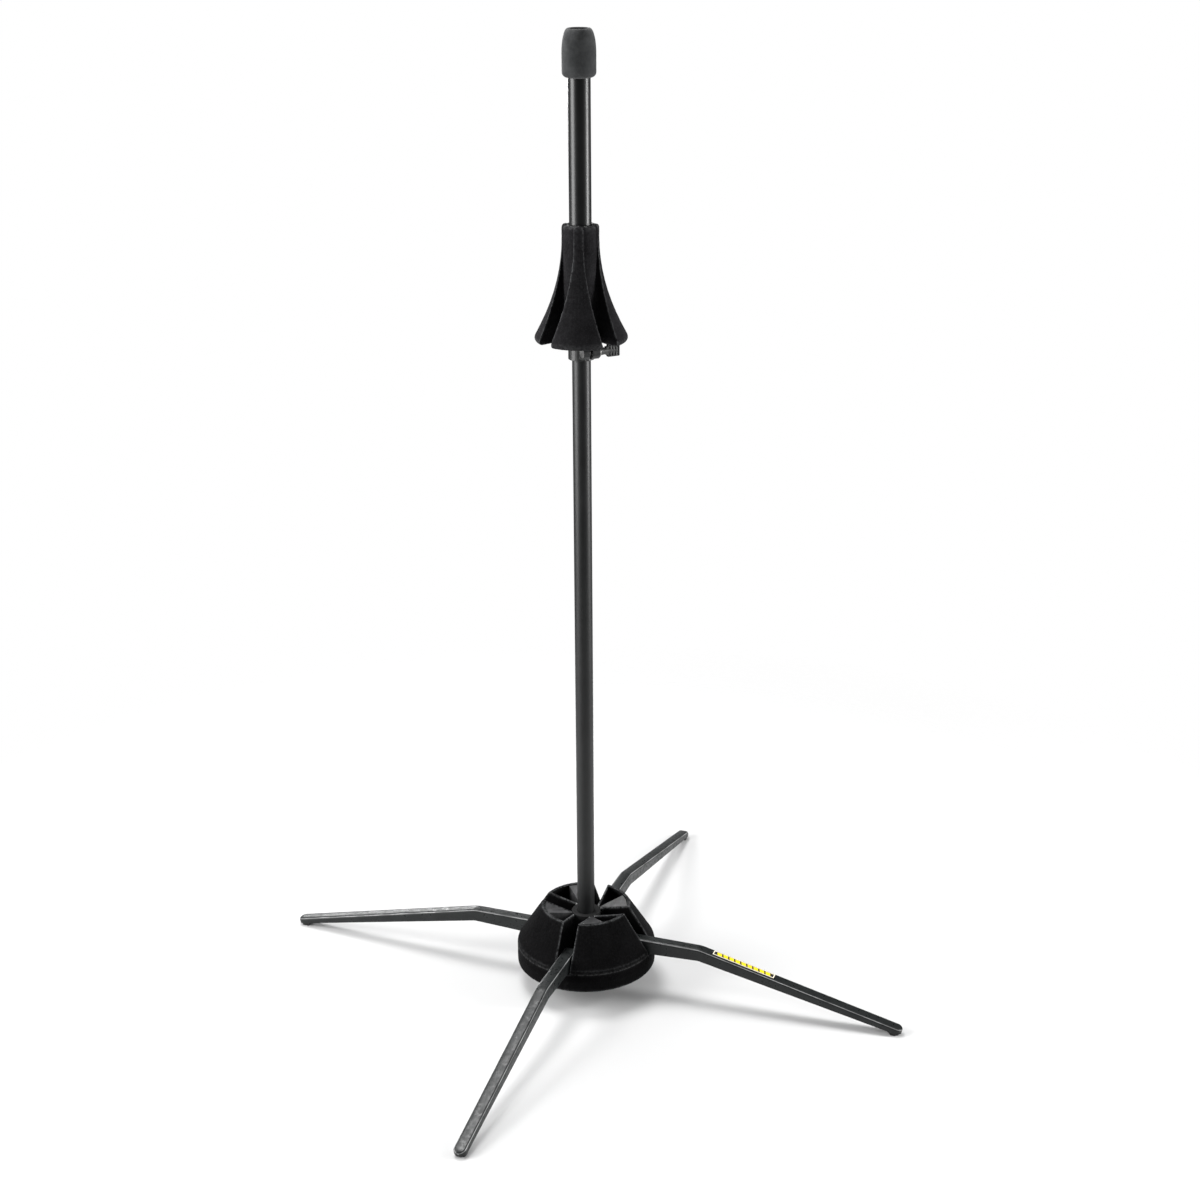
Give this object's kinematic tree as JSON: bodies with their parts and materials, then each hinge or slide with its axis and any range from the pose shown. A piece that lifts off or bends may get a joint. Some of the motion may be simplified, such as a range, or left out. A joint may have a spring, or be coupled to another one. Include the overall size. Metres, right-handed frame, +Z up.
{
  "type": "trumpet stand",
  "caption": "Floor stand for a brass instrument: telescoping shaft with padded tip, slotted flared bell cone, wing-screw clamp and flocked hub with fold-up channel legs.",
  "frame": {"origin": "on the floor under the shaft, at the bottom centre of the bounding box with the legs spread", "axes": "+Z up along the shaft, +X and +Y along two neighbouring legs, +X along the leg that carries the label"},
  "size_m": [0.544, 0.544, 0.78],
  "materials": {
    "shaft_satin": "satin",
    "shaft_gloss": "gloss",
    "dark_plastic": "satin",
    "grey_plastic": "matte",
    "web_plastic": "matte",
    "hub_flock": "matte",
    "cone_velvet": "matte",
    "leg_paint": "satin",
    "rubber": "matte",
    "steel": "satin",
    "foam": "matte",
    "wing_plastic": "satin",
    "label": "satin"
  },
  "bodies": {
    "base": {"lower_tube": "shaft_satin", "tube_guide_bush": "dark_plastic", "tube_plug": "grey_plastic", "hub_shell": "hub_flock", "hub_core": "web_plastic", "base_plate": "leg_paint", "hub_screw": "steel", "hub_washer": "steel", "pivot_pin_east": "steel", "pivot_pin_north": "steel", "pivot_pin_west": "steel", "pivot_pin_south": "steel", "plate_screw_1": "steel", "plate_screw_2": "steel", "plate_screw_3": "steel", "plate_screw_4": "steel"},
    "leg_east": {"leg_channel_east": "leg_paint", "foot_pad_east": "rubber", "label_strip": "label"},
    "leg_north": {"leg_channel_north": "leg_paint", "foot_pad_north": "rubber"},
    "leg_west": {"leg_channel_west": "leg_paint", "foot_pad_west": "rubber"},
    "leg_south": {"leg_channel_south": "leg_paint", "foot_pad_south": "rubber"},
    "sleeve": {"friction_sleeve": "grey_plastic"},
    "upper": {"upper_tube": "shaft_gloss", "top_plug": "dark_plastic", "foam_grip": "foam", "bell_cone": "cone_velvet", "clamp_collar": "dark_plastic", "clamp_nut": "steel", "clamp_washer": "steel"},
    "wing": {"clamp_screw": "steel", "wing_knob": "wing_plastic"}
  },
  "joints": [
    {"name": "leg_fold_east", "type": "hinge", "parent": "base", "child": "leg_east", "pos_m": [0.042, 0, 0.0415], "axis": [0, -1, 0], "range_deg": [0, 103.4]},
    {"name": "leg_fold_north", "type": "hinge", "parent": "base", "child": "leg_north", "pos_m": [0, 0.042, 0.0415], "axis": [1, 0, 0], "range_deg": [0, 103.4]},
    {"name": "leg_fold_west", "type": "hinge", "parent": "base", "child": "leg_west", "pos_m": [-0.042, 0, 0.0415], "axis": [0, 1, 0], "range_deg": [0, 103.4]},
    {"name": "leg_fold_south", "type": "hinge", "parent": "base", "child": "leg_south", "pos_m": [0, -0.042, 0.0415], "axis": [-1, 0, 0], "range_deg": [0, 103.4]},
    {"name": "height_slide", "type": "slide", "parent": "base", "child": "sleeve", "axis": [0, 0, 1], "range_m": [-0.12, 0.06]},
    {"name": "upper_turn", "type": "hinge", "parent": "sleeve", "child": "upper", "pos_m": [0, 0, 0.545], "axis": [0, 0, 1], "continuous": true},
    {"name": "wing_turn", "type": "hinge", "parent": "upper", "child": "wing", "pos_m": [0.00935, -0.00903, 0.545], "axis": [0.6947, 0.7193, 0], "range_deg": [0, 540]}
  ]
}
